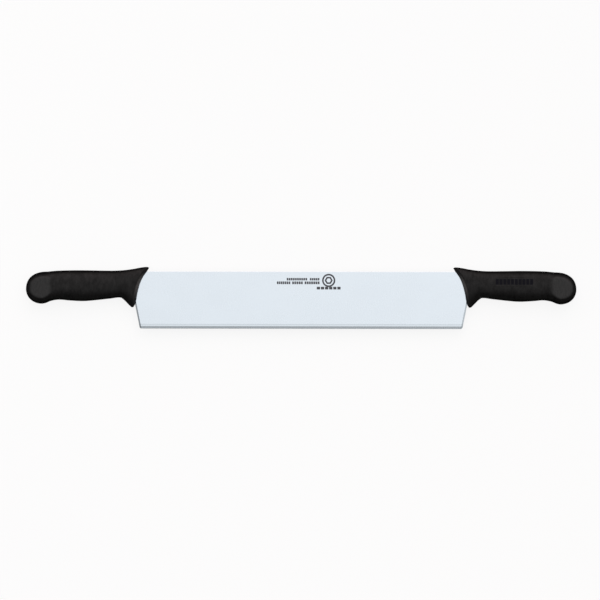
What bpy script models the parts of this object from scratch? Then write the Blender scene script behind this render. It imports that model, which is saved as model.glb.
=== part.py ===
"""Double-handled cheese knife: one straight steel blade with a moulded plastic handle at each end.

The knife lies flat: +X runs along the blade, +Y points to its spine and +Z goes up through its thickness.
The origin is under the middle of its bounding box, on the plane that the two handles rest on.
The right handle is modelled at +X. The left one is the same moulding turned half round the Y axis.
Lengths are in metres. In an outline y is counted from the blade's spine, and z from its mid-plane.
"""

import math

import bmesh
import bpy

# Whole knife
HANDLE_THICKNESS = 0.023
SPINE_Y = 0.029
MOULD_GAP = 0.0003

# Blade blank, which holds the blade and both tangs
EDGE_LENGTH = 0.3562
BLADE_HEIGHT = 0.063
END_SLANT = 0.2
CORNER_RADIUS = 0.0018
CORNER_STEPS = 5
SHOULDER_X = 0.1875
TANG_TOP = -0.006
TANG_BOTTOM = -0.024
TANG_END_X = 0.289
TANG_END_RADIUS = 0.004
HOLE_RADIUS = 0.0035
HOLE_XS = (0.206, 0.240, 0.274)
HOLE_SIDES = 20
# (y, thickness) of the ground blade, from the spine to the cutting edge
GRIND = ((0.0, 0.0024), (-0.0580, 0.0018), (-0.0604, 0.00125), (-0.0630, 0.0001))
# From this x outwards the blank thins evenly, so the face between is one plane clear of the handles
THINNING_STARTS_X = 0.120
END_THINNING = 0.05

# Handle outline, in (x, y) points apart from the front line
HORN_TIP = (0.1680, 0.0041)
GUARD_TIP = (0.1852, -0.0392)
# (y, x) points of the curved front, from the guard's tip up to the horn's
FRONT_LINE = (
    (GUARD_TIP[1], GUARD_TIP[0]),
    (-0.0362, 0.1835),
    (-0.0318, 0.1822),
    (-0.0252, 0.1811),
    (-0.0175, 0.1793),
    (-0.0110, 0.1771),
    (-0.0053, 0.1742),
    (-0.0009, 0.1711),
    (HORN_TIP[1], HORN_TIP[0]),
)
TOP_LINE = (
    HORN_TIP,
    (0.1700, 0.0050),
    (0.1768, 0.0044),
    (0.1860, 0.0027),
    (0.1960, 0.0014),
    (0.2080, 0.0008),
    (0.2460, 0.0012),
    (0.2690, 0.0007),
    (0.2800, -0.0003),
)
BOTTOM_LINE = (
    GUARD_TIP,
    (0.1865, -0.0396),
    (0.1881, -0.0390),
    (0.1960, -0.0312),
    (0.2000, -0.0289),
    (0.2120, -0.0302),
    (0.2390, -0.0328),
    (0.2560, -0.0322),
    (0.2675, -0.0313),
    (0.2765, -0.0327),
    (0.2820, -0.0349),
    (0.2860, -0.0358),
)
BUTT_X = 0.3037
BUTT_Y = -0.0197
UPPER_BUTT_POWER = 2.35
LOWER_BUTT_POWER = 2.1
# Power of the curve by which the butt's end rolls off its full thickness
BUTT_ROLL_POWER = 5.5

# Handle sections: (x along the top line, half thickness before the butt pads are cut)
HALF_THICKNESS = (
    (HORN_TIP[0], 0.0026),
    (0.1692, 0.0046),
    (0.1706, 0.0064),
    (0.1723, 0.0077),
    (0.1746, 0.0082),
    (0.1860, 0.0083),
    (0.2050, 0.0087),
    (0.2400, 0.0106),
    (0.2640, 0.0104),
    (0.2800, 0.0130),
)
# (x along the top line, power of the section's superellipse: 2 is an ellipse, more is squarer)
SQUARENESS = ((HORN_TIP[0], 2.4), (0.2500, 2.4), (0.2800, 2.8))
# Share of its thickness that the guard loses towards its tip
GUARD_TAPER = 0.4
LOOP_POINTS = 32
SHARP_ANGLE = math.radians(30)
GRIP_STATIONS = 24
GRIP_CROWDING = 0.75
BUTT_STATIONS = 9
# Up to this x the sections lean and bow to follow the front line
FRONT_ENDS_X = 0.208
# From this x they lean towards the bottom line's butt, which starts further out than the top line's
BUTT_LEAN_STARTS_X = 0.250

# Name panel, left blank: a shallow recess on one side of the grip
PANEL_CENTRE = (0.235, -0.0109)
PANEL_LENGTH = 0.044
PANEL_HEIGHT = 0.009
PANEL_CORNER = 0.002
PANEL_FLOOR_Z = 0.0093
PANEL_TILT = math.radians(6.3)
PANEL_RISE = math.radians(1.7)

STEEL = (0.75, 0.82, 0.88)
BLACK_PLASTIC = (0.0070, 0.0065, 0.0065)


def clear_scene():
    for old in list(bpy.data.objects):
        bpy.data.objects.remove(old, do_unlink=True)


def principled(name, colour, roughness, metallic):
    material = bpy.data.materials.new(name)
    material.use_nodes = True
    shader = material.node_tree.nodes["Principled BSDF"]
    shader.inputs["Base Color"].default_value = (*colour, 1.0)
    shader.inputs["Roughness"].default_value = roughness
    shader.inputs["Metallic"].default_value = metallic
    return material


def add_object(name, mesh, parent, material=None, half_turn=False):
    obj = bpy.data.objects.new(name, mesh)
    bpy.context.collection.objects.link(obj)
    obj.parent = parent
    if half_turn:
        obj.rotation_euler = (0.0, math.pi, 0.0)
    if material:
        obj.data.materials.clear()
        obj.data.materials.append(material)
    return obj


def as_cutter(obj):
    obj.hide_render = True
    obj.display_type = "WIRE"
    return obj


def cut(obj, cutter):
    boolean = obj.modifiers.new("cut_" + cutter.name, "BOOLEAN")
    boolean.operation = "DIFFERENCE"
    boolean.solver = "EXACT"
    boolean.object = cutter


def mesh_from(name, bm):
    bmesh.ops.recalc_face_normals(bm, faces=bm.faces)
    mesh = bpy.data.meshes.new(name)
    bm.to_mesh(mesh)
    bm.free()
    return mesh


def curve_at(points, x):
    """Height at x of a smooth curve through the points, which run along rising x."""
    xs = [point[0] for point in points]
    ys = [point[1] for point in points]
    last = len(points) - 1
    x = min(max(x, xs[0]), xs[last])
    i = next((k for k in range(last) if x <= xs[k + 1]), last - 1)
    slopes = []
    for k in (i, i + 1):
        before = max(k - 1, 0)
        after = min(k + 1, last)
        slopes.append((ys[after] - ys[before]) / (xs[after] - xs[before]))
    width = xs[i + 1] - xs[i]
    t = (x - xs[i]) / width
    start = (2 * t**3 - 3 * t**2 + 1) * ys[i] + (t**3 - 2 * t**2 + t) * width * slopes[0]
    end = (3 * t**2 - 2 * t**3) * ys[i + 1] + (t**3 - t**2) * width * slopes[1]
    return start + end


def rounded_corner(corner, towards_a, towards_b, radius):
    """Points of an arc that rounds a corner, from the side of a to the side of b."""
    ax, ay = towards_a
    bx, by = towards_b
    half = math.acos(ax * bx + ay * by) / 2
    reach = radius / math.tan(half)
    mid_x, mid_y = ax + bx, ay + by
    mid = math.hypot(mid_x, mid_y)
    centre_x = corner[0] + mid_x / mid * radius / math.sin(half)
    centre_y = corner[1] + mid_y / mid * radius / math.sin(half)
    start = math.atan2(corner[1] + ay * reach - centre_y, corner[0] + ax * reach - centre_x)
    end = math.atan2(corner[1] + by * reach - centre_y, corner[0] + bx * reach - centre_x)
    turn = (end - start + math.pi) % (2 * math.pi) - math.pi
    angles = [start + turn * step / CORNER_STEPS for step in range(CORNER_STEPS + 1)]
    return [(centre_x + radius * math.cos(a), centre_y + radius * math.sin(a)) for a in angles]


def end_x(y, grow):
    """X of the blade's slanted end at the height y."""
    return EDGE_LENGTH / 2 + END_SLANT * (y + BLADE_HEIGHT) + grow * math.hypot(1.0, END_SLANT)


def half_blank_outline(grow):
    """Right half of the blank, from the cutting edge round the tang to the spine, made larger by grow."""
    edge_y = -BLADE_HEIGHT - grow
    low = TANG_BOTTOM - grow
    high = TANG_TOP + grow
    tang_end = TANG_END_X + grow
    slope = math.hypot(1.0, END_SLANT)
    up_the_end = (END_SLANT / slope, 1.0 / slope)
    points = rounded_corner((end_x(edge_y, grow), edge_y), (-1, 0), up_the_end, CORNER_RADIUS + grow)
    points.append((end_x(low, grow), low))
    points += rounded_corner((tang_end, low), (-1, 0), (0, 1), TANG_END_RADIUS + grow)
    points += rounded_corner((tang_end, high), (0, -1), (-1, 0), TANG_END_RADIUS + grow)
    points.append((SHOULDER_X + grow, high))
    points.append((SHOULDER_X + grow, grow))
    return points


def ground_thickness(x, y):
    """Thickness of the ground blank at a point of its outline."""
    beyond = max(abs(x) - THINNING_STARTS_X, 0.0) / (TANG_END_X - THINNING_STARTS_X)
    share = 1.0 - END_THINNING * beyond
    y = min(max(y, GRIND[-1][0]), GRIND[0][0])
    for (high, thick), (low, thin) in zip(GRIND, GRIND[1:]):
        if y >= low:
            return share * (thick + (thin - thick) * (high - y) / (high - low))
    return share * GRIND[-1][1]


def blank_mesh(name, grow):
    """The blank as one closed body. A positive grow makes the cavity that it leaves in a moulding."""
    right = half_blank_outline(grow)
    left = [(-x, y) for x, y in reversed(right)]
    bm = bmesh.new()
    bm.faces.new([bm.verts.new((x, y, 0.0)) for x, y in right + left])
    for level, _ in GRIND[1:-1]:
        everything = bm.verts[:] + bm.edges[:] + bm.faces[:]
        bmesh.ops.bisect_plane(bm, geom=everything, plane_co=(0, level, 0), plane_no=(0, 1, 0))
    for side in (-1, 1):
        everything = bm.verts[:] + bm.edges[:] + bm.faces[:]
        bmesh.ops.bisect_plane(
            bm, geom=everything, plane_co=(side * THINNING_STARTS_X, 0, 0), plane_no=(1, 0, 0)
        )
    lower = bm.verts[:]
    copied = bmesh.ops.extrude_face_region(bm, geom=bm.faces[:])["geom"]
    upper = [item for item in copied if isinstance(item, bmesh.types.BMVert)]
    for vertices, side in ((lower, -1), (upper, 1)):
        for vertex in vertices:
            vertex.co.z = side * (ground_thickness(vertex.co.x, vertex.co.y) / 2 + grow)
    for vertex in bm.verts:
        vertex.co.y += SPINE_Y
    return mesh_from(name, bm)


def hole_punch(name, radius, parent):
    """Six round pegs, one for each hole in the tangs."""
    bm = bmesh.new()
    for x in HOLE_XS:
        for side in (-1, 1):
            peg = bmesh.ops.create_cone(
                bm,
                cap_ends=True,
                segments=HOLE_SIDES,
                radius1=radius,
                radius2=radius,
                depth=HANDLE_THICKNESS,
            )
            place = (side * x, SPINE_Y + (TANG_TOP + TANG_BOTTOM) / 2, 0.0)
            bmesh.ops.translate(bm, verts=peg["verts"], vec=place)
    return as_cutter(add_object(name, mesh_from(name, bm), parent))


def butt_point(start, power, angle):
    """Point on the rounded end of an outline, which leaves its start level and ends at the butt."""
    along = math.sin(angle) ** (2 / power)
    up = math.cos(angle) ** (2 / power)
    return start[0] + (BUTT_X - start[0]) * along, BUTT_Y + (start[1] - BUTT_Y) * up


def grip_station(t):
    """Section at the share t of the grip, from its front to the start of the butt's rounding."""
    front_x = HORN_TIP[0]
    length = TOP_LINE[-1][0] - front_x
    top_x = front_x + length * (t - GRIP_CROWDING * math.sin(2 * math.pi * t) / (2 * math.pi))
    near_front = max(1.0 - (top_x - front_x) / (FRONT_ENDS_X - front_x), 0.0)
    near_butt = max((top_x - BUTT_LEAN_STARTS_X) / (TOP_LINE[-1][0] - BUTT_LEAN_STARTS_X), 0.0)
    lean = (GUARD_TIP[0] - front_x) * near_front**1.5
    lean += (BOTTOM_LINE[-1][0] - TOP_LINE[-1][0]) * near_butt**2
    top = (top_x, curve_at(TOP_LINE, top_x))
    bottom = (top_x + lean, curve_at(BOTTOM_LINE, top_x + lean))
    return top, bottom, curve_at(HALF_THICKNESS, top_x), curve_at(SQUARENESS, top_x), near_front**2


def stations():
    """Sections of the handle: top and bottom point, half thickness, squareness, share of the front's bow."""
    found = [grip_station(step / GRIP_STATIONS) for step in range(GRIP_STATIONS + 1)]
    squareness = SQUARENESS[-1][1]
    for step in range(1, BUTT_STATIONS):
        angle = math.pi / 2 * step / BUTT_STATIONS
        top = butt_point(TOP_LINE[-1], UPPER_BUTT_POWER, angle)
        bottom = butt_point(BOTTOM_LINE[-1], LOWER_BUTT_POWER, angle)
        thin = math.cos(angle) ** (2 / BUTT_ROLL_POWER)
        found.append((top, bottom, HALF_THICKNESS[-1][1] * thin, squareness, 0.0))
    return found


def front_bow(share):
    """How far the handle's front stands off the straight line from the horn tip to the guard tip."""
    y = HORN_TIP[1] + (GUARD_TIP[1] - HORN_TIP[1]) * share
    straight = HORN_TIP[0] + (GUARD_TIP[0] - HORN_TIP[0]) * share
    return curve_at(FRONT_LINE, y) - straight


def section_loop(bm, top, bottom, half_thickness, squareness, bow):
    """One closed rounded section between a top and a bottom point."""
    loop = []
    for step in range(LOOP_POINTS):
        angle = 2 * math.pi * step / LOOP_POINTS
        down = math.copysign(abs(math.cos(angle)) ** (2 / squareness), math.cos(angle))
        side = math.copysign(abs(math.sin(angle)) ** (2 / squareness), math.sin(angle))
        share = (1 - down) / 2
        x = top[0] + (bottom[0] - top[0]) * share + bow * front_bow(share)
        y = top[1] + (bottom[1] - top[1]) * share
        z = half_thickness * side * (1 - GUARD_TAPER * bow * share**2)
        loop.append(bm.verts.new((x, y + SPINE_Y, z)))
    return loop


def cut_pads(bm):
    """Cuts the fullest part of the butt to one flat pad on each side."""
    for side in (-1, 1):
        everything = bm.verts[:] + bm.edges[:] + bm.faces[:]
        found = bmesh.ops.bisect_plane(
            bm,
            geom=everything,
            plane_co=(0, 0, side * HANDLE_THICKNESS / 2),
            plane_no=(0, 0, side),
            clear_outer=True,
        )
        rim = [item for item in found["geom_cut"] if isinstance(item, bmesh.types.BMEdge)]
        bmesh.ops.contextual_create(bm, geom=rim)


def handle_mesh():
    """The handle as one closed body, before its tang cavity and its name panel are cut."""
    bm = bmesh.new()
    loops = [section_loop(bm, *station) for station in stations()]
    for ahead, behind in zip(loops, loops[1:]):
        for k in range(LOOP_POINTS):
            following = (k + 1) % LOOP_POINTS
            bm.faces.new((ahead[k], ahead[following], behind[following], behind[k]))
    butt = bm.verts.new((BUTT_X, SPINE_Y + BUTT_Y, 0.0))
    for k in range(LOOP_POINTS):
        bm.faces.new((loops[-1][k], loops[-1][(k + 1) % LOOP_POINTS], butt))
    front = loops[0]
    for k in range(LOOP_POINTS // 2):
        corners = [front[k], front[k + 1], front[(-k - 1) % LOOP_POINTS], front[-k % LOOP_POINTS]]
        bm.faces.new(list(dict.fromkeys(corners)))
    cut_pads(bm)
    mesh = mesh_from("handle", bm)
    mesh.shade_smooth()
    mesh.set_sharp_from_angle(angle=SHARP_ANGLE)
    return mesh


def panel_cutter(name, parent, half_turn):
    """A rounded slab that cuts the blank name panel into one side of the grip."""
    corners = []
    for side_x, side_y in ((1, 1), (-1, 1), (-1, -1), (1, -1)):
        corner = (side_x * PANEL_LENGTH / 2, side_y * PANEL_HEIGHT / 2)
        inwards = ((-side_x, 0), (0, -side_y))
        towards_a, towards_b = inwards[::-1] if side_x * side_y > 0 else inwards
        corners += rounded_corner(corner, towards_a, towards_b, PANEL_CORNER)
    bm = bmesh.new()
    floor = bm.faces.new([bm.verts.new((x, y, 0.0)) for x, y in corners])
    raised = bmesh.ops.extrude_face_region(bm, geom=[floor])["geom"]
    top = [item for item in raised if isinstance(item, bmesh.types.BMVert)]
    bmesh.ops.translate(bm, verts=top, vec=(0, 0, HANDLE_THICKNESS / 2))
    holder = bpy.data.objects.new(name + "_holder", None)
    bpy.context.collection.objects.link(holder)
    holder.parent = parent
    if half_turn:
        holder.rotation_euler = (0.0, math.pi, 0.0)
    cutter = as_cutter(add_object(name, mesh_from(name, bm), holder))
    cutter.location = (PANEL_CENTRE[0], SPINE_Y + PANEL_CENTRE[1], PANEL_FLOOR_Z)
    cutter.rotation_euler = (-PANEL_TILT, -PANEL_RISE, 0.0)
    return cutter


def main():
    clear_scene()
    middle = bpy.data.objects.new("blade_mid_plane", None)
    middle.location = (0.0, 0.0, HANDLE_THICKNESS / 2)
    bpy.context.collection.objects.link(middle)

    steel = principled("blade_steel", STEEL, 0.3, 1.0)
    blade = add_object("blade", blank_mesh("blade", 0.0), middle, steel)
    cut(blade, hole_punch("tang_holes", HOLE_RADIUS, middle))

    cavity = as_cutter(add_object("tang_cavity", blank_mesh("tang_cavity", MOULD_GAP), middle))
    cut(cavity, hole_punch("moulded_posts", HOLE_RADIUS - MOULD_GAP, middle))
    for name, half_turn in (("handle_right", False), ("handle_left", True)):
        plastic = principled(name + "_plastic", BLACK_PLASTIC, 0.5, 0.0)
        handle = add_object(name, handle_mesh(), middle, plastic, half_turn)
        cut(handle, panel_cutter(name + "_panel", middle, half_turn))
        cut(handle, cavity)


main()
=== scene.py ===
"""Looks of the double-handled cheese knife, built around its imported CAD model.

The knife lies flat on a pale floor: +X runs along the blade, +Y points to its spine and +Z goes up.
The CAD shapes are built again here with finer sections, edges and finishes, in the same places.
Lengths are in metres. In an outline y is counted from the blade's spine, and z from its mid-plane.
"""

import math

import bmesh
import bpy
import numpy as np
from mathutils import Matrix, Vector


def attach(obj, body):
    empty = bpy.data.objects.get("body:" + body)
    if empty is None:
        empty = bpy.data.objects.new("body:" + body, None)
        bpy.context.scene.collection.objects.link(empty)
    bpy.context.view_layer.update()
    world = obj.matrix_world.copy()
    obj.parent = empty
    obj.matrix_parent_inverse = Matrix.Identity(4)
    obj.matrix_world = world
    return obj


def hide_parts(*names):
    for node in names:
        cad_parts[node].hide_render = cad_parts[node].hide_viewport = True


# Whole knife
SPINE_Y = 0.029
MID_Z = 0.0115
PAD_Z = 0.0115

# Blade blank, which holds the blade and both tangs
EDGE_LENGTH = 0.3562
BLADE_HEIGHT = 0.063
END_SLANT = 0.2
CORNER_RADIUS = 0.0018
CORNER_STEPS = 10
SHOULDER_X = 0.1875
TANG_TOP = -0.006
TANG_BOTTOM = -0.024
TANG_END_X = 0.289
TANG_END_RADIUS = 0.004
HOLE_RADIUS = 0.0035
HOLE_XS = (0.206, 0.240, 0.274)
HOLE_SIDES = 48
THINNING_STARTS_X = 0.120
END_THINNING = 0.05
# (y, thickness) from the eased spine down the face, over the fine line above the edge, to the cutting edge
GRIND = (
    (0.0, 0.0022),
    (-0.0002, 0.0024),
    (-0.0579, 0.0018),
    (-0.0587, 0.00164),
    (-0.0603, 0.0015),
    (-0.0629, 0.00040),
    (-0.0630, 0.0001),
)
END_CHAMFER = 0.0017
END_CHAMFER_DROP = 0.00052
END_CHAMFER_TOP = -0.0320
END_CHAMFER_FADES = 0.0010
MOULD_GAP = 0.00004

# Handle outline, in (x, y) points apart from the front line
HORN_TIP = (0.1680, 0.0041)
GUARD_TIP = (0.1852, -0.0392)
# (y, x) points of the curved front, from the guard's tip up to the horn's
FRONT_LINE = (
    (GUARD_TIP[1], GUARD_TIP[0]),
    (-0.0362, 0.1835),
    (-0.0318, 0.1822),
    (-0.0252, 0.1811),
    (-0.0175, 0.1793),
    (-0.0110, 0.1771),
    (-0.0053, 0.1742),
    (-0.0009, 0.1711),
    (HORN_TIP[1], HORN_TIP[0]),
)
TOP_LINE = (
    HORN_TIP,
    (0.1700, 0.0050),
    (0.1768, 0.0044),
    (0.1860, 0.0027),
    (0.1960, 0.0014),
    (0.2080, 0.0008),
    (0.2460, 0.0012),
    (0.2690, 0.0007),
    (0.2800, -0.0003),
)
BOTTOM_LINE = (
    GUARD_TIP,
    (0.1865, -0.0396),
    (0.1881, -0.0390),
    (0.1960, -0.0312),
    (0.2000, -0.0289),
    (0.2120, -0.0302),
    (0.2390, -0.0328),
    (0.2560, -0.0322),
    (0.2675, -0.0313),
    (0.2765, -0.0327),
    (0.2820, -0.0349),
    (0.2860, -0.0358),
)
BUTT_X = 0.3037
BUTT_Y = -0.0197
UPPER_BUTT_POWER = 2.35
LOWER_BUTT_POWER = 2.1
BUTT_ROLL_POWER = 5.5

# Handle sections: (x along the top line, half thickness before the butt pads are flattened)
HALF_THICKNESS = (
    (HORN_TIP[0], 0.0026),
    (0.1692, 0.0046),
    (0.1706, 0.0064),
    (0.1723, 0.0077),
    (0.1746, 0.0082),
    (0.1860, 0.0083),
    (0.2050, 0.0087),
    (0.2400, 0.0106),
    (0.2640, 0.0104),
    (0.2800, 0.0130),
)
# (x along the top line, power of the section's superellipse: 2 is an ellipse, more is squarer)
SQUARENESS = ((HORN_TIP[0], 2.4), (0.2500, 2.4), (0.2800, 2.8))
GUARD_TAPER = 0.4
LOOP_POINTS = 176
LOOP_TRIAL_POINTS = 1200
GRIP_STATIONS = 230
GRIP_CROWDING = 0.75
BUTT_STATIONS = 44
FRONT_ENDS_X = 0.208
BUTT_LEAN_STARTS_X = 0.250
FRONT_EDGE_RADIUS = 0.0005
PAD_EDGE_SHARPNESS = 4500.0
SHARP_ANGLE = math.radians(35)

# Name panel, left blank: a shallow recess on one side of the grip, with sloping walls
PANEL_CENTRE = (0.235, -0.0109)
PANEL_LENGTH = 0.044
PANEL_HEIGHT = 0.009
PANEL_CORNER = 0.002
PANEL_FLOOR_Z = 0.0093
PANEL_TILT = math.radians(6.3)
PANEL_RISE = math.radians(1.7)
PANEL_WALL_HEIGHT = 0.003
PANEL_WALL_SLOPE = 0.6

# Plain marks in dark etch on the upper face: three rows of dashes, and a ring with a hexagon
MARK_BURIED = 0.00001
MARK_RAISED = 0.00002
DASH_SHARE = 0.8
DASH_CORNER = 0.0003
# (y of the middle, height, first x, last x, pitch)
DASH_ROWS = (
    (-0.0083, 0.0027, -0.0162, 0.0068, 0.0023),
    (-0.0083, 0.0027, 0.0094, 0.0203, 0.0023),
    (-0.0123, 0.0030, -0.0270, -0.0118, 0.0023),
    (-0.0123, 0.0030, -0.0102, 0.0020, 0.0023),
    (-0.0123, 0.0030, 0.0036, 0.0205, 0.0023),
    (-0.0181, 0.0030, 0.0168, 0.0440, 0.0045),
)
RING_CENTRE = (0.0304, -0.0096)
RING_RADIUS = 0.0073
RING_WIDTH = 0.0018
RING_SIDES = 64
HEXAGON_RADIUS = 0.0045
HEXAGON_WIDTH = 0.0020

# Print on the name panel: a plain row of bars
BAR_COUNT = 10
BAR_PITCH = 0.0042
BAR_SIZE = (0.0034, 0.0063)
BAR_CORNER = 0.0004

# Camera, straight above the knife
LENS = 200.0
SENSOR = 36.0
CAMERA_AT = (-0.00127, -0.00227, MID_Z + 3.683)
CAMERA_ROLL = math.radians(0.09)
CAMERA_REACH = 50.0

# Studio. The floor sends little light up at the knife, and shows the camera soft shadows.
FLOOR_HALF = 6.0
FLOOR_GLOW = 0.87
FLOOR_ALBEDO = 0.05
SEEN_FLOOR_ALBEDO = 0.17
SIDE_LIGHT_AT = (-0.8, 0.5, 0.6)
SIDE_LIGHT_SIZE = 0.5
SIDE_LIGHT_POWER = 0.5
# (direction component, brightness) of the studio round the knife
SKY_BY_Y = (
    (-1.0, (0.02, 0.02, 0.02)),
    (-0.74, (0.05, 0.05, 0.05)),
    (-0.46, (0.3, 0.3, 0.3)),
    (-0.2, (0.8, 0.8, 0.8)),
    (0.0, (1.0, 1.0, 1.0)),
    (0.34, (1.16, 1.1, 1.1)),
    (0.74, (1.4, 1.26, 1.26)),
    (1.0, (1.5, 1.3, 1.3)),
)
SKY_BY_X = (
    (-1.0, 0.06),
    (-0.8, 0.12),
    (-0.56, 0.3),
    (-0.3, 0.9),
    (-0.08, 1.03),
    (0.0, 1.0),
    (0.25, 1.05),
    (0.45, 1.0),
    (0.7, 0.4),
    (0.85, 0.15),
    (1.0, 0.06),
)
SKY_BY_Z = ((-1.0, 0.06), (-0.02, 0.06), (0.05, 0.15), (0.25, 0.4), (0.5, 1.0), (1.0, 1.0))
# The least brightness at each height, so that the low sky is never dark
LOW_SKY_BY_Z = (
    (-1.0, 0.06),
    (-0.02, 0.06),
    (0.05, 0.2),
    (0.15, 0.2),
    (0.27, 0.36),
    (0.45, 0.0),
    (1.0, 0.0),
)
SKY_STRENGTH = 1.07

# Finishes. Scales are the numbers of a noise's features to the metre along x, y and z.
SHADE_RANGE = (0.3, 0.7)
STEEL = (0.75, 0.82, 0.88)
LINE_SCALES = (5200.0, 60.0, 60.0)
CLOUD_SCALES = (28.0, 45.0, 45.0)
STEEL_ROUGHNESS = 0.22
# How much the clouds and the fine lines add to the steel's roughness
CLOUD_ROUGHNESS = 0.06
LINE_ROUGHNESS = 0.04
INK_ROUGHNESS = 0.6
INK_SCALES = (3000.0, 3000.0, 3000.0)
ETCH = (0.120, 0.125, 0.140)
ETCH_GLOSS = 0.2
BLACK_PLASTIC = (0.0045, 0.0042, 0.0042)
STREAK_SCALES = (520.0, 220.0, 220.0)
PATCH_SCALES = (130.0, 90.0, 90.0)
GRAIN_SCALES = (2600.0, 2600.0, 2600.0)
GRAIN_DEPTH = 0.00002
# Share of the streaks in the grips' mottling, the rest being patches
STREAK_SHARE = 0.55
GRIP_ROUGHNESS = 0.42
GRIP_GLOSS = 0.23
GRIP_GLOSS_SPREAD = 0.44
# Painted highlight: a lighter colour painted on the lips that face the blade, for the light they catch off
# it
LIP_HIGHLIGHT_COLOUR = (0.094, 0.088, 0.086)
# Distances behind the front line between which the lip's painted highlight fades out
LIP_HIGHLIGHT_FADES = (0.0024, 0.0040)
# (share of the way up the front line, strength of the painted highlight)
LIP_HIGHLIGHT_SHARES = ((0.0, 0.0), (0.2, 0.15), (0.34, 0.5), (0.45, 1.0), (0.7, 1.0), (0.85, 0.2), (1.0, 0.0))
GRIP_ENDS_X = 0.2735
BUTT_STARTS_X = 0.2795
PAD_FADES = 0.0010
PAD_ROUGHNESS = 0.34
PAD_GLOSS = 0.40
PAD_GLOSS_SPREAD = 0.30
PRINT = (0.0050, 0.0050, 0.0090)
PRINT_GLOSS = 0.10


# Shapes that follow the CAD model


def curve_at(points, x):
    """Heights at x of a smooth curve through the points, which run along rising x."""
    xs, ys = np.array(points).T
    last = len(xs) - 1
    before = np.maximum(np.arange(last + 1) - 1, 0)
    after = np.minimum(np.arange(last + 1) + 1, last)
    slopes = (ys[after] - ys[before]) / (xs[after] - xs[before])
    x = np.clip(x, xs[0], xs[last])
    i = np.clip(np.searchsorted(xs, x) - 1, 0, last - 1)
    width = xs[i + 1] - xs[i]
    t = (x - xs[i]) / width
    start = (2 * t**3 - 3 * t**2 + 1) * ys[i] + (t**3 - 2 * t**2 + t) * width * slopes[i]
    end = (3 * t**2 - 2 * t**3) * ys[i + 1] + (t**3 - t**2) * width * slopes[i + 1]
    return start + end


def rounded_corner(corner, towards_a, towards_b, radius):
    """Points of an arc that rounds a corner, from the side of a to the side of b."""
    ax, ay = towards_a
    bx, by = towards_b
    half = math.acos(ax * bx + ay * by) / 2
    reach = radius / math.tan(half)
    mid_x, mid_y = ax + bx, ay + by
    mid = math.hypot(mid_x, mid_y)
    centre_x = corner[0] + mid_x / mid * radius / math.sin(half)
    centre_y = corner[1] + mid_y / mid * radius / math.sin(half)
    start = math.atan2(corner[1] + ay * reach - centre_y, corner[0] + ax * reach - centre_x)
    end = math.atan2(corner[1] + by * reach - centre_y, corner[0] + bx * reach - centre_x)
    turn = (end - start + math.pi) % (2 * math.pi) - math.pi
    angles = [start + turn * step / CORNER_STEPS for step in range(CORNER_STEPS + 1)]
    return [(centre_x + radius * math.cos(a), centre_y + radius * math.sin(a)) for a in angles]


def rounded_rectangle(length, height, radius):
    """Corner points of a rounded rectangle round the origin, anticlockwise."""
    points = []
    for side_x, side_y in ((1, 1), (-1, 1), (-1, -1), (1, -1)):
        inwards = ((-side_x, 0), (0, -side_y))
        towards_a, towards_b = inwards[::-1] if side_x * side_y > 0 else inwards
        corner = (side_x * length / 2, side_y * height / 2)
        points += rounded_corner(corner, towards_a, towards_b, radius)
    return points


def end_x(y, grow=0.0):
    """X of the blade's slanted end at the height y."""
    return EDGE_LENGTH / 2 + END_SLANT * (y + BLADE_HEIGHT) + grow * math.hypot(1.0, END_SLANT)


def half_blank_outline(grow):
    """Right half of the blank, from the cutting edge round the tang to the spine, made larger by grow."""
    edge_y = -BLADE_HEIGHT - grow
    low = TANG_BOTTOM - grow
    high = TANG_TOP + grow
    tang_end = TANG_END_X + grow
    slope = math.hypot(1.0, END_SLANT)
    up_the_end = (END_SLANT / slope, 1.0 / slope)
    points = rounded_corner((end_x(edge_y, grow), edge_y), (-1, 0), up_the_end, CORNER_RADIUS + grow)
    points.append((end_x(low, grow), low))
    points += rounded_corner((tang_end, low), (-1, 0), (0, 1), TANG_END_RADIUS + grow)
    points += rounded_corner((tang_end, high), (0, -1), (-1, 0), TANG_END_RADIUS + grow)
    points.append((SHOULDER_X + grow, high))
    points.append((SHOULDER_X + grow, grow))
    return points


def half_thickness_at(x, y):
    """Half the blank's thickness at a point of its outline."""
    beyond = max(abs(x) - THINNING_STARTS_X, 0.0) / (TANG_END_X - THINNING_STARTS_X)
    heights, thicknesses = zip(*reversed(GRIND))
    half = (1.0 - END_THINNING * beyond) * np.interp(y, heights, thicknesses) / 2
    from_end = (end_x(y) - abs(x)) / math.hypot(1.0, END_SLANT)
    chamfered = min(max((END_CHAMFER_TOP - y) / END_CHAMFER_FADES + 1.0, 0.0), 1.0)
    chamfered *= min(max(1.0 - from_end / END_CHAMFER, 0.0), 1.0)
    return max(half - END_CHAMFER_DROP * chamfered, GRIND[-1][1] / 2)


def bisect(bm, place, normal):
    everything = bm.verts[:] + bm.edges[:] + bm.faces[:]
    bmesh.ops.bisect_plane(bm, geom=everything, plane_co=place, plane_no=normal)


def mesh_from(name, bm):
    bmesh.ops.recalc_face_normals(bm, faces=bm.faces)
    mesh = bpy.data.meshes.new(name)
    bm.to_mesh(mesh)
    bm.free()
    return mesh


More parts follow.
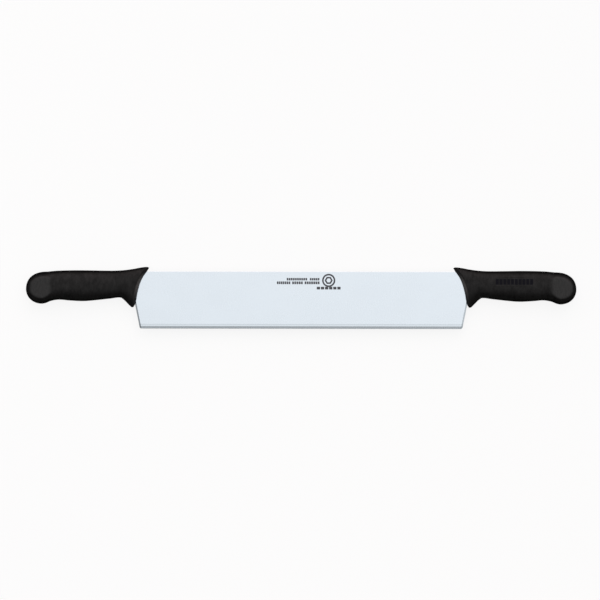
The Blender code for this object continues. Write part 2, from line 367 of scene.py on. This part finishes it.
def blank_mesh(name, grow):
    """The blank as one closed body. A positive grow makes the cavity that it leaves in a moulding."""
    right = half_blank_outline(grow)
    left = [(-x, y) for x, y in reversed(right)]
    bm = bmesh.new()
    bm.faces.new([bm.verts.new((x, y, 0.0)) for x, y in right + left])
    levels = [level for level, _ in GRIND[1:-1]]
    levels += [END_CHAMFER_TOP, END_CHAMFER_TOP + END_CHAMFER_FADES]
    for level in levels:
        bisect(bm, (0, level, 0), (0, 1, 0))
    for side in (-1, 1):
        bisect(bm, (side * THINNING_STARTS_X, 0, 0), (1, 0, 0))
        inner = end_x(0.0, -END_CHAMFER)
        bisect(bm, (side * inner, 0, 0), (1, -side * END_SLANT, 0))
    lower = bm.verts[:]
    copied = bmesh.ops.extrude_face_region(bm, geom=bm.faces[:])["geom"]
    upper = [item for item in copied if isinstance(item, bmesh.types.BMVert)]
    for vertices, side in ((lower, -1), (upper, 1)):
        for vertex in vertices:
            vertex.co.z = side * (half_thickness_at(vertex.co.x, vertex.co.y) + grow)
    bmesh.ops.translate(bm, verts=bm.verts, vec=(0, SPINE_Y, MID_Z))
    return mesh_from(name, bm)


def peg_mesh(name, radius):
    """Six round pegs, one for each hole in the tangs."""
    bm = bmesh.new()
    for x in HOLE_XS:
        for side in (-1, 1):
            peg = bmesh.ops.create_cone(
                bm,
                cap_ends=True,
                segments=HOLE_SIDES,
                radius1=radius,
                radius2=radius,
                depth=2 * MID_Z,
            )
            place = (side * x, SPINE_Y + (TANG_TOP + TANG_BOTTOM) / 2, MID_Z)
            bmesh.ops.translate(bm, verts=peg["verts"], vec=place)
    return mesh_from(name, bm)


def superellipse(wave, squareness):
    """A cosine or a sine bent to the superellipse of that squareness."""
    return np.sign(wave) * np.abs(wave) ** (2 / squareness)


def butt_points(start, power, angle):
    """Points on the rounded end of an outline, which leaves its start level and ends at the butt."""
    along = np.sin(angle) ** (2 / power)
    up = np.cos(angle) ** (2 / power)
    return np.stack([start[0] + (BUTT_X - start[0]) * along, BUTT_Y + (start[1] - BUTT_Y) * up], 1)


def stations():
    """Top and bottom points, half thickness, squareness and share of the front's bow of every section."""
    t = np.linspace(0, 1, GRIP_STATIONS + 1)
    front_x = HORN_TIP[0]
    length = TOP_LINE[-1][0] - front_x
    top_x = front_x + length * (t - GRIP_CROWDING * np.sin(2 * math.pi * t) / (2 * math.pi))
    near_front = np.maximum(1.0 - (top_x - front_x) / (FRONT_ENDS_X - front_x), 0.0)
    near_butt = np.maximum((top_x - BUTT_LEAN_STARTS_X) / (TOP_LINE[-1][0] - BUTT_LEAN_STARTS_X), 0.0)
    lean = (GUARD_TIP[0] - front_x) * near_front**1.5
    lean += (BOTTOM_LINE[-1][0] - TOP_LINE[-1][0]) * near_butt**2
    inside = 1.0 - np.minimum((top_x - front_x) / FRONT_EDGE_RADIUS, 1.0)
    rounding = FRONT_EDGE_RADIUS * (1.0 - np.sqrt(1.0 - inside**2))
    angle = np.linspace(0, math.pi / 2, BUTT_STATIONS + 1)[1:-1]
    squarest = SQUARENESS[-1][1]
    top = np.stack([top_x, curve_at(TOP_LINE, top_x)], 1)
    bottom = np.stack([top_x + lean, curve_at(BOTTOM_LINE, top_x + lean)], 1)
    half = curve_at(HALF_THICKNESS, top_x) - rounding
    butt_half = HALF_THICKNESS[-1][1] * np.cos(angle) ** (2 / BUTT_ROLL_POWER)
    return (
        np.concatenate([top, butt_points(TOP_LINE[-1], UPPER_BUTT_POWER, angle)]),
        np.concatenate([bottom, butt_points(BOTTOM_LINE[-1], LOWER_BUTT_POWER, angle)]),
        np.concatenate([half, butt_half]),
        np.concatenate([curve_at(SQUARENESS, top_x), np.full(len(angle), squarest)]),
        np.concatenate([near_front**2, np.zeros(len(angle))]),
    )


def front_bow(share):
    """How far the handle's front stands off the straight line from the horn tip to the guard tip."""
    y = HORN_TIP[1] + (GUARD_TIP[1] - HORN_TIP[1]) * share
    straight = HORN_TIP[0] + (GUARD_TIP[0] - HORN_TIP[0]) * share
    return curve_at(FRONT_LINE, y) - straight


def section_loops():
    """Closed sections of the handle, as evenly spaced points: stations by points by 3."""
    angle = np.linspace(0, math.pi, LOOP_TRIAL_POINTS)
    steps = np.linspace(0, 1, LOOP_POINTS // 2 + 1)
    loops = []
    for top, bottom, half, squareness, bow in zip(*stations()):
        share = (1 - superellipse(np.cos(angle), squareness)) / 2
        x = top[0] + (bottom[0] - top[0]) * share + bow * front_bow(share)
        y = SPINE_Y + top[1] + (bottom[1] - top[1]) * share
        z = half * superellipse(np.sin(angle), squareness) * (1 - GUARD_TAPER * bow * share**2)
        z[-1] = 0.0
        strides = np.sqrt(np.diff(x) ** 2 + np.diff(y) ** 2 + np.diff(z) ** 2)
        run = np.concatenate([[0.0], np.cumsum(strides)])
        near = np.stack([np.interp(steps * run[-1], run, line) for line in (x, y, z)], 1)
        far = near[-2:0:-1] * (1, 1, -1)
        loops.append(np.concatenate([near, far]))
    return np.array(loops)


def flattened(z):
    """Heights from the mid-plane, pressed softly to the flat pad on each side."""
    over = np.logaddexp(0.0, PAD_EDGE_SHARPNESS * (np.abs(z) - PAD_Z)) / PAD_EDGE_SHARPNESS
    return np.sign(z) * (np.abs(z) - over)


def handle_blank():
    """The right handle as one closed body, before its tang cavity and its name panel are cut."""
    loops = section_loops()
    loops[:, :, 2] = flattened(loops[:, :, 2])
    count = len(loops)
    points = loops.reshape(-1, 3).tolist()
    points.append((BUTT_X, SPINE_Y + BUTT_Y, 0.0))
    ring = np.arange(LOOP_POINTS)
    following = (ring + 1) % LOOP_POINTS
    faces = []
    for k in range(count - 1):
        ahead = k * LOOP_POINTS
        behind = ahead + LOOP_POINTS
        faces += np.stack([ahead + ring, ahead + following, behind + following, behind + ring], 1).tolist()
    last = (count - 1) * LOOP_POINTS
    faces += [(last + a, last + b, len(points) - 1) for a, b in zip(ring.tolist(), following.tolist())]
    for k in range(LOOP_POINTS // 2):
        corners = [k, k + 1, (-k - 1) % LOOP_POINTS, -k % LOOP_POINTS]
        faces.append(list(dict.fromkeys(corners)))
    mesh = bpy.data.meshes.new("handle_blank")
    mesh.from_pydata(points, [], faces)
    mesh.transform(Matrix.Translation((0, 0, MID_Z)))
    bm = bmesh.new()
    bm.from_mesh(mesh)
    return mesh_from("handle_blank", bm)


def panel_place():
    """Where the middle of the panel's floor is, and how it leans."""
    place = Matrix.Translation((PANEL_CENTRE[0], SPINE_Y + PANEL_CENTRE[1], MID_Z + PANEL_FLOOR_Z))
    return place @ Matrix.Rotation(-PANEL_RISE, 4, "Y") @ Matrix.Rotation(-PANEL_TILT, 4, "X")


def panel_mesh():
    """A rounded slab with sloping walls that cuts the blank name panel into the grip."""
    bm = bmesh.new()
    floor = rounded_rectangle(PANEL_LENGTH, PANEL_HEIGHT, PANEL_CORNER)
    wider = 2 * PANEL_WALL_HEIGHT * PANEL_WALL_SLOPE
    mouth = rounded_rectangle(PANEL_LENGTH + wider, PANEL_HEIGHT + wider, PANEL_CORNER + wider / 2)
    low = [bm.verts.new((x, y, 0.0)) for x, y in floor]
    high = [bm.verts.new((x, y, PANEL_WALL_HEIGHT)) for x, y in mouth]
    bm.faces.new(low)
    bm.faces.new(high)
    for k in range(len(low)):
        following = (k + 1) % len(low)
        bm.faces.new((low[k], low[following], high[following], high[k]))
    bm.transform(panel_place())
    return mesh_from("panel", bm)


# Objects


def new_object(name, mesh):
    obj = bpy.data.objects.new(name, mesh)
    bpy.context.scene.collection.objects.link(obj)
    return obj


def mesh_without(mesh, *cutters):
    """A new mesh: this one with the cutters' solids taken away."""
    body = new_object("body", mesh)
    helpers = [new_object("cutter", cutter) for cutter in cutters]
    for helper in helpers:
        boolean = body.modifiers.new("cut", "BOOLEAN")
        boolean.operation = "DIFFERENCE"
        boolean.solver = "EXACT"
        boolean.object = helper
    graph = bpy.context.evaluated_depsgraph_get()
    made = bpy.data.meshes.new_from_object(body.evaluated_get(graph))
    for used in [body, *helpers]:
        bpy.data.objects.remove(used)
    return made


def add_piece(name, mesh, material, replaces=None):
    mesh.name = name
    mesh.materials.clear()
    mesh.materials.append(material)
    piece = new_object(name, mesh)
    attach(piece, "root")
    if replaces:
        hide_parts(replaces)
    return piece


def blade_face_z(x, y):
    return MID_Z + half_thickness_at(x, y)


def panel_floor_z(_x, _y):
    return 0.0


def prism(bm, points, surface_z, hole=()):
    """A thin plate of ink or etch on a surface, with an optional hole of as many points."""
    outlines = [points, hole] if hole else [points]
    levels = []
    for lift in (-MARK_BURIED, MARK_RAISED):
        rings = []
        for outline in outlines:
            rings.append([bm.verts.new((x, y, surface_z(x, y) + lift)) for x, y in outline])
        levels.append(rings)
    for low, high in zip(*levels):
        for k in range(len(low)):
            following = (k + 1) % len(low)
            bm.faces.new((low[k], low[following], high[following], high[k]))
    for rings in levels:
        if not hole:
            bm.faces.new(rings[0])
            continue
        outer, inner = rings
        for k in range(len(outer)):
            following = (k + 1) % len(outer)
            bm.faces.new((outer[k], outer[following], inner[following], inner[k]))


def polygon(centre, radius, sides):
    angles = [2 * math.pi * k / sides for k in range(sides)]
    return [(centre[0] + radius * math.cos(a), centre[1] + radius * math.sin(a)) for a in angles]


def moved(points, centre):
    return [(x + centre[0], y + centre[1]) for x, y in points]


def blade_marks_mesh():
    bm = bmesh.new()
    for y, height, first, last, wanted_pitch in DASH_ROWS:
        count = round((last - first) / wanted_pitch)
        pitch = (last - first) / count
        dash = rounded_rectangle(DASH_SHARE * pitch, height, DASH_CORNER)
        for k in range(count):
            prism(bm, moved(dash, (first + pitch * (k + 0.5), y)), blade_face_z)
    for radius, width, sides in (
        (RING_RADIUS, RING_WIDTH, RING_SIDES),
        (HEXAGON_RADIUS, HEXAGON_WIDTH, 6),
    ):
        inner = polygon(RING_CENTRE, radius - width, sides)
        prism(bm, polygon(RING_CENTRE, radius, sides), blade_face_z, inner)
    bmesh.ops.translate(bm, verts=bm.verts, vec=(0, SPINE_Y, 0))
    return mesh_from("marks", bm)


def panel_print_mesh():
    bm = bmesh.new()
    bar = rounded_rectangle(*BAR_SIZE, BAR_CORNER)
    for k in range(BAR_COUNT):
        prism(bm, moved(bar, ((k - (BAR_COUNT - 1) / 2) * BAR_PITCH, 0.0)), panel_floor_z)
    bm.transform(panel_place())
    return mesh_from("print", bm)


def turned_half_round(mesh):
    """A copy of the right handle's mesh for the left one, turned half round about the Y axis."""
    copy = mesh.copy()
    centre = Matrix.Translation((0, 0, MID_Z))
    copy.transform(centre @ Matrix.Rotation(math.pi, 4, "Y") @ centre.inverted())
    return copy


# Materials


def node(tree, kind, inputs=(), **settings):
    """Adds a node. An input given a socket is linked to it, and any other input gets that value."""
    made = tree.nodes.new("ShaderNode" + kind)
    for name, value in settings.items():
        setattr(made, name, value)
    for key, value in dict(inputs).items():
        if isinstance(value, bpy.types.NodeSocket):
            tree.links.new(value, made.inputs[key])
        else:
            made.inputs[key].default_value = value
    return made


def math_node(tree, operation, *values):
    return node(tree, "Math", dict(enumerate(values)), operation=operation).outputs[0]


def mixed(tree, factor, first, second):
    return node(tree, "Mix", {0: factor, 2: first, 3: second}).outputs[0]


def mixed_colour(tree, factor, first, second, blend="MIX"):
    inputs = {0: factor, 6: first, 7: second}
    return node(tree, "Mix", inputs, data_type="RGBA", blend_type=blend).outputs[2]


def ramp(tree, value, stops):
    """Colours by value: stops are (position, colour or grey level)."""
    made = node(tree, "ValToRGB", {"Fac": value})
    elements = made.color_ramp.elements
    while len(elements) < len(stops):
        elements.new(0.5)
    for element, (position, colour) in zip(elements, stops):
        element.position = position
        shade = colour if isinstance(colour, tuple) else (colour,) * 3
        element.color = (*shade, 1.0)
    return made.outputs["Color"]


def noise(tree, scales, detail=2.0, roughness=0.5):
    """Noise over the piece's own coordinates."""
    place = node(tree, "TexCoord").outputs["Object"]
    stretched = node(tree, "Mapping", {"Vector": place, "Scale": scales}).outputs["Vector"]
    inputs = {"Vector": stretched, "Scale": 1.0, "Detail": detail, "Roughness": roughness}
    return node(tree, "TexNoise", inputs).outputs[0]


def new_material(name):
    """(material, its tree, its Principled node)"""
    material = bpy.data.materials.new(name)
    material.use_nodes = True
    return material, material.node_tree, material.node_tree.nodes["Principled BSDF"]


def set_inputs(tree, shader, inputs):
    for key, value in inputs.items():
        if isinstance(value, bpy.types.NodeSocket):
            tree.links.new(value, shader.inputs[key])
        else:
            shader.inputs[key].default_value = value


def bump(tree, height, distance):
    return node(tree, "Bump", {"Height": height, "Distance": distance, "Strength": 1.0}).outputs["Normal"]


def shades(colour, *levels):
    """Colour stops for a ramp, evenly spread, each a multiple of one colour."""
    places = np.linspace(*SHADE_RANGE, len(levels)).tolist()
    return [(place, tuple(level * c for c in colour)) for place, level in zip(places, levels)]


def steel_material():
    """Satin steel with fine polishing lines across the blade and faint cloudiness."""
    material, tree, shader = new_material("satin_steel")
    lines = noise(tree, LINE_SCALES, detail=3.0, roughness=0.6)
    clouds = noise(tree, CLOUD_SCALES)
    cloudy = math_node(tree, "MULTIPLY_ADD", clouds, CLOUD_ROUGHNESS, STEEL_ROUGHNESS)
    inputs = {
        "Base Color": ramp(tree, lines, shades(STEEL, 0.992, 1.0, 1.008)),
        "Metallic": 1.0,
        "Roughness": math_node(tree, "MULTIPLY_ADD", lines, LINE_ROUGHNESS, cloudy),
    }
    set_inputs(tree, shader, inputs)
    return material


def ink_material(name, colour, gloss):
    """Flat ink or etch with a faint grain."""
    material, tree, shader = new_material(name)
    grain = noise(tree, INK_SCALES)
    inputs = {
        "Base Color": ramp(tree, grain, shades(colour, 0.8, 1.2)),
        "Roughness": INK_ROUGHNESS,
        "Specular IOR Level": gloss,
    }
    set_inputs(tree, shader, inputs)
    return material


def on_the_pads(tree):
    """1 on the smooth pads at the butts, fading to 0 towards the grips and round the butts' ends."""
    place = node(tree, "TexCoord").outputs["Object"]
    along, _, up = node(tree, "SeparateXYZ", {0: place}).outputs
    off_middle = math_node(tree, "ABSOLUTE", math_node(tree, "SUBTRACT", up, MID_Z))
    fades = []
    for distance, start, end in (
        (math_node(tree, "ABSOLUTE", along), GRIP_ENDS_X, BUTT_STARTS_X),
        (off_middle, PAD_Z - PAD_FADES, PAD_Z),
    ):
        inputs = {"Value": distance, "From Min": start, "From Max": end}
        fades.append(node(tree, "MapRange", inputs, interpolation_type="SMOOTHSTEP").outputs[0])
    return math_node(tree, "MULTIPLY", *fades)


def lip_highlight_mask(tree):
    """1 on the lips that face the blade, where a painted highlight lightens the colour, fading to 0 towards
    the grips and the guards' tips.
    """
    place = node(tree, "TexCoord").outputs["Object"]
    along, across, _ = node(tree, "SeparateXYZ", {0: place}).outputs
    lowest = SPINE_Y + GUARD_TIP[1]
    highest = SPINE_Y + HORN_TIP[1]
    height = {"Value": across, "From Min": lowest, "From Max": highest}
    share = node(tree, "MapRange", height).outputs[0]
    stops = []
    for y, x in FRONT_LINE:
        place_up = (y - GUARD_TIP[1]) / (HORN_TIP[1] - GUARD_TIP[1])
        stops.append((place_up, (x - HORN_TIP[0]) / (GUARD_TIP[0] - HORN_TIP[0])))
    bowed = ramp(tree, share, stops)
    front_x = math_node(tree, "MULTIPLY_ADD", bowed, GUARD_TIP[0] - HORN_TIP[0], HORN_TIP[0])
    behind = math_node(tree, "SUBTRACT", math_node(tree, "ABSOLUTE", along), front_x)
    width = {"Value": behind, "From Min": LIP_HIGHLIGHT_FADES[1], "From Max": LIP_HIGHLIGHT_FADES[0]}
    near = node(tree, "MapRange", width, interpolation_type="SMOOTHSTEP").outputs[0]
    return math_node(tree, "MULTIPLY", near, ramp(tree, share, LIP_HIGHLIGHT_SHARES))


def plastic_material():
    """Black moulded plastic: mottled grips, smoother pads, and a painted highlight on the lips that face the
    blade.
    """
    material, tree, shader = new_material("black_moulded_plastic")
    streaks = noise(tree, STREAK_SCALES, detail=4.0, roughness=0.7)
    patches = noise(tree, PATCH_SCALES, detail=3.0)
    grain = noise(tree, GRAIN_SCALES)
    tone = mixed(tree, STREAK_SHARE, patches, streaks)
    pads = on_the_pads(tree)
    grip_gloss = math_node(tree, "MULTIPLY_ADD", tone, GRIP_GLOSS_SPREAD, GRIP_GLOSS - GRIP_GLOSS_SPREAD / 2)
    pad_gloss = math_node(tree, "MULTIPLY_ADD", streaks, PAD_GLOSS_SPREAD, PAD_GLOSS - PAD_GLOSS_SPREAD / 2)
    mottled_black = ramp(tree, tone, shades(BLACK_PLASTIC, 0.4, 1.0, 1.8))
    inputs = {
        # Painted highlight: the lips get a lighter colour for the light they catch off the blade
        "Base Color": mixed_colour(tree, lip_highlight_mask(tree), mottled_black, (*LIP_HIGHLIGHT_COLOUR, 1.0)),
        "Roughness": mixed(tree, pads, GRIP_ROUGHNESS, PAD_ROUGHNESS),
        "Specular IOR Level": mixed(tree, pads, grip_gloss, pad_gloss),
        "Normal": bump(tree, grain, GRAIN_DEPTH),
    }
    set_inputs(tree, shader, inputs)
    return material


# Studio


def component_ramp(tree, component, stops):
    """Brightness by one component of a direction, which runs from -1 to 1."""
    scaled = math_node(tree, "MULTIPLY_ADD", component, 0.5, 0.5)
    return ramp(tree, scaled, [((at + 1) / 2, level) for at, level in stops])


def studio_world():
    """White to the camera, and a soft gradient of light from all round to the knife."""
    world = bpy.data.worlds.new("studio")
    bpy.context.scene.world = world
    world.use_nodes = True
    tree = world.node_tree
    tree.nodes.clear()
    direction = node(tree, "SeparateXYZ", {0: node(tree, "TexCoord").outputs["Generated"]})
    light = component_ramp(tree, direction.outputs["X"], SKY_BY_X)
    for component, stops, blend in (
        ("Y", SKY_BY_Y, "MULTIPLY"),
        ("Z", SKY_BY_Z, "MULTIPLY"),
        ("Z", LOW_SKY_BY_Z, "LIGHTEN"),
    ):
        factor = component_ramp(tree, direction.outputs[component], stops)
        light = mixed_colour(tree, 1.0, light, factor, blend)
    soft = node(tree, "Background", {"Color": light, "Strength": SKY_STRENGTH}).outputs[0]
    plain = node(tree, "Background", {"Color": (1, 1, 1, 1), "Strength": 1.0}).outputs[0]
    seen = node(tree, "LightPath").outputs["Is Camera Ray"]
    chosen = node(tree, "MixShader", {0: seen, 1: soft, 2: plain}).outputs[0]
    node(tree, "OutputWorld", {"Surface": chosen})


def floor_material():
    """Pale floor that glows to the camera, so that the sheet looks evenly lit."""
    material = bpy.data.materials.new("floor")
    material.use_nodes = True
    tree = material.node_tree
    tree.nodes.clear()
    seen = node(tree, "LightPath").outputs["Is Camera Ray"]
    albedo = mixed(tree, seen, FLOOR_ALBEDO, SEEN_FLOOR_ALBEDO)
    matt = node(tree, "BsdfDiffuse", {"Color": albedo}).outputs[0]
    strength = math_node(tree, "MULTIPLY", seen, FLOOR_GLOW)
    glow = node(tree, "Emission", {"Strength": strength}).outputs[0]
    both = node(tree, "AddShader", {0: matt, 1: glow}).outputs[0]
    node(tree, "OutputMaterial", {"Surface": both})
    return material


def add_floor():
    bm = bmesh.new()
    corners = ((-1, -1), (1, -1), (1, 1), (-1, 1))
    bm.faces.new([bm.verts.new((x * FLOOR_HALF, y * FLOOR_HALF, 0.0)) for x, y in corners])
    mesh = bpy.data.meshes.new("floor")
    bm.to_mesh(mesh)
    bm.free()
    mesh.materials.append(floor_material())
    new_object("floor", mesh)


def add_side_light():
    lamp = bpy.data.lights.new("side_light", "AREA")
    lamp.energy = SIDE_LIGHT_POWER
    lamp.size = SIDE_LIGHT_SIZE
    light = new_object("side_light", lamp)
    light.location = SIDE_LIGHT_AT
    aim = Vector((0, 0, MID_Z)) - light.location
    light.rotation_euler = aim.to_track_quat("-Z", "Y").to_euler()


def add_camera():
    camera = bpy.data.cameras.new("camera")
    camera.lens = LENS
    camera.sensor_width = SENSOR
    camera.clip_end = CAMERA_REACH
    holder = new_object("camera", camera)
    holder.location = CAMERA_AT
    holder.rotation_euler = (0.0, 0.0, CAMERA_ROLL)
    bpy.context.scene.camera = holder


def add_knife():
    steel = steel_material()
    plastic = plastic_material()
    blade = mesh_without(blank_mesh("blade", 0.0), peg_mesh("holes", HOLE_RADIUS))
    add_piece("steel_blade", blade, steel, "blade")
    add_piece("blade_marks", blade_marks_mesh(), ink_material("dark_etch", ETCH, ETCH_GLOSS))

    cavity = mesh_without(blank_mesh("cavity", MOULD_GAP), peg_mesh("posts", HOLE_RADIUS - MOULD_GAP))
    right = mesh_without(handle_blank(), panel_mesh(), cavity)
    right.shade_smooth()
    right.set_sharp_from_angle(angle=SHARP_ANGLE)
    add_piece("plastic_handle_left", turned_half_round(right), plastic, "handle_left")
    add_piece("plastic_handle_right", right, plastic, "handle_right")
    ink = ink_material("panel_ink", PRINT, PRINT_GLOSS)
    bars = panel_print_mesh()
    add_piece("panel_print_left", turned_half_round(bars), ink)
    add_piece("panel_print_right", bars, ink)


def add_studio():
    studio_world()
    add_floor()
    add_side_light()
    add_camera()
    bpy.context.scene.view_settings.view_transform = "Standard"


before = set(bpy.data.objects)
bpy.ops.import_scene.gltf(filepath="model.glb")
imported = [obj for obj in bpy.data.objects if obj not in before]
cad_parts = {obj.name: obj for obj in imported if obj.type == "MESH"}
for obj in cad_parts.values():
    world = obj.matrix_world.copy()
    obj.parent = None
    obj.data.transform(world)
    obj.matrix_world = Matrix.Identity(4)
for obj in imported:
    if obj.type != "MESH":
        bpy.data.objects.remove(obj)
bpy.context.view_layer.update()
add_knife()
add_studio()
